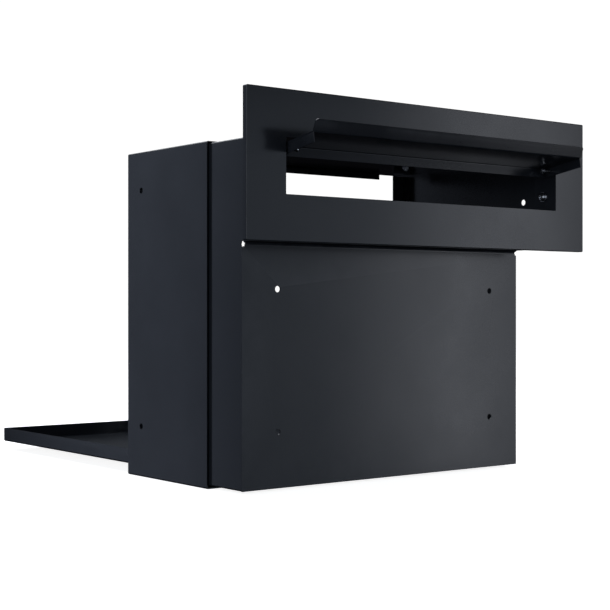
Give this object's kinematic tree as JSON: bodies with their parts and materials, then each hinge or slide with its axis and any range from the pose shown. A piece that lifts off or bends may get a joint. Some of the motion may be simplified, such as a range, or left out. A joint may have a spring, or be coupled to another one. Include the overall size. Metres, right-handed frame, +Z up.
{
  "type": "parcel drop box",
  "caption": "Pass-through steel parcel and letter box: front plate with lift-up flap, telescoping body and bottom-hinged rear door with cam lock.",
  "frame": {"origin": "middle of the bounding box at its lowest level, on the surface the body stands on, with the flap open and the rear door folded down", "axes": "+X across the front plate (to the right seen from the front), +Y from the front plate to the rear door, +Z up"},
  "size_m": [0.5, 0.6922, 0.4183],
  "materials": {
    "powder_coat": "fine-textured satin anthracite powder coat on steel",
    "zinc_steel": "bright zinc-plated steel",
    "lock_chrome": "polished chrome-plated die casting",
    "nylon": "matt black nylon"
  },
  "bodies": {
    "front_body": {"front_plate": "powder_coat", "front_shell": "powder_coat", "front_panel": "powder_coat", "flap_bolt_left": "zinc_steel", "flap_nut_left": "zinc_steel", "flap_spacer_left": "nylon", "plate_screw_left": "zinc_steel", "plate_washer_left": "zinc_steel", "plate_nut_left": "zinc_steel", "flap_bolt_right": "zinc_steel", "flap_nut_right": "zinc_steel", "flap_spacer_right": "nylon", "plate_screw_right": "zinc_steel", "plate_washer_right": "zinc_steel", "plate_nut_right": "zinc_steel", "clamp_screw_left": "zinc_steel", "clamp_washer_left": "zinc_steel", "clamp_nut_left": "zinc_steel", "clamp_screw_right": "zinc_steel", "clamp_washer_right": "zinc_steel", "clamp_nut_right": "zinc_steel"},
    "flap": {"flap": "powder_coat"},
    "rear_body": {"rear_shell": "powder_coat", "strike_strip": "powder_coat", "door_sill": "powder_coat", "side_flange_left": "powder_coat", "side_flange_right": "powder_coat", "door_hinge_plate_left": "zinc_steel", "door_pin_left": "zinc_steel", "door_washer_left": "nylon", "door_hinge_plate_right": "zinc_steel", "door_pin_right": "zinc_steel", "door_washer_right": "nylon"},
    "door": {"door_tray": "powder_coat", "lock_barrel": "lock_chrome", "lock_nut": "zinc_steel"},
    "lock_turn_parts": {"lock_core": "lock_chrome", "lock_cam": "zinc_steel", "lock_cam_screw": "zinc_steel"}
  },
  "joints": [
    {"name": "flap_hinge", "type": "hinge", "parent": "front_body", "child": "flap", "pos_m": [0, -0.29553, 0.359], "axis": [1, 0, 0], "range_deg": [-20, 99]},
    {"name": "depth_slide", "type": "slide", "parent": "front_body", "child": "rear_body", "axis": [0, 1, 0], "range_m": [-0.04, 0.03]},
    {"name": "door_hinge", "type": "hinge", "parent": "rear_body", "child": "door", "pos_m": [0, -0.00713, 0.0165], "axis": [1, 0, 0], "range_deg": [0, 90]},
    {"name": "lock_turn", "type": "hinge", "parent": "door", "child": "lock_turn_parts", "pos_m": [0, 0.32207, 0.02], "axis": [0, 0, 1], "range_deg": [0, 90]}
  ]
}
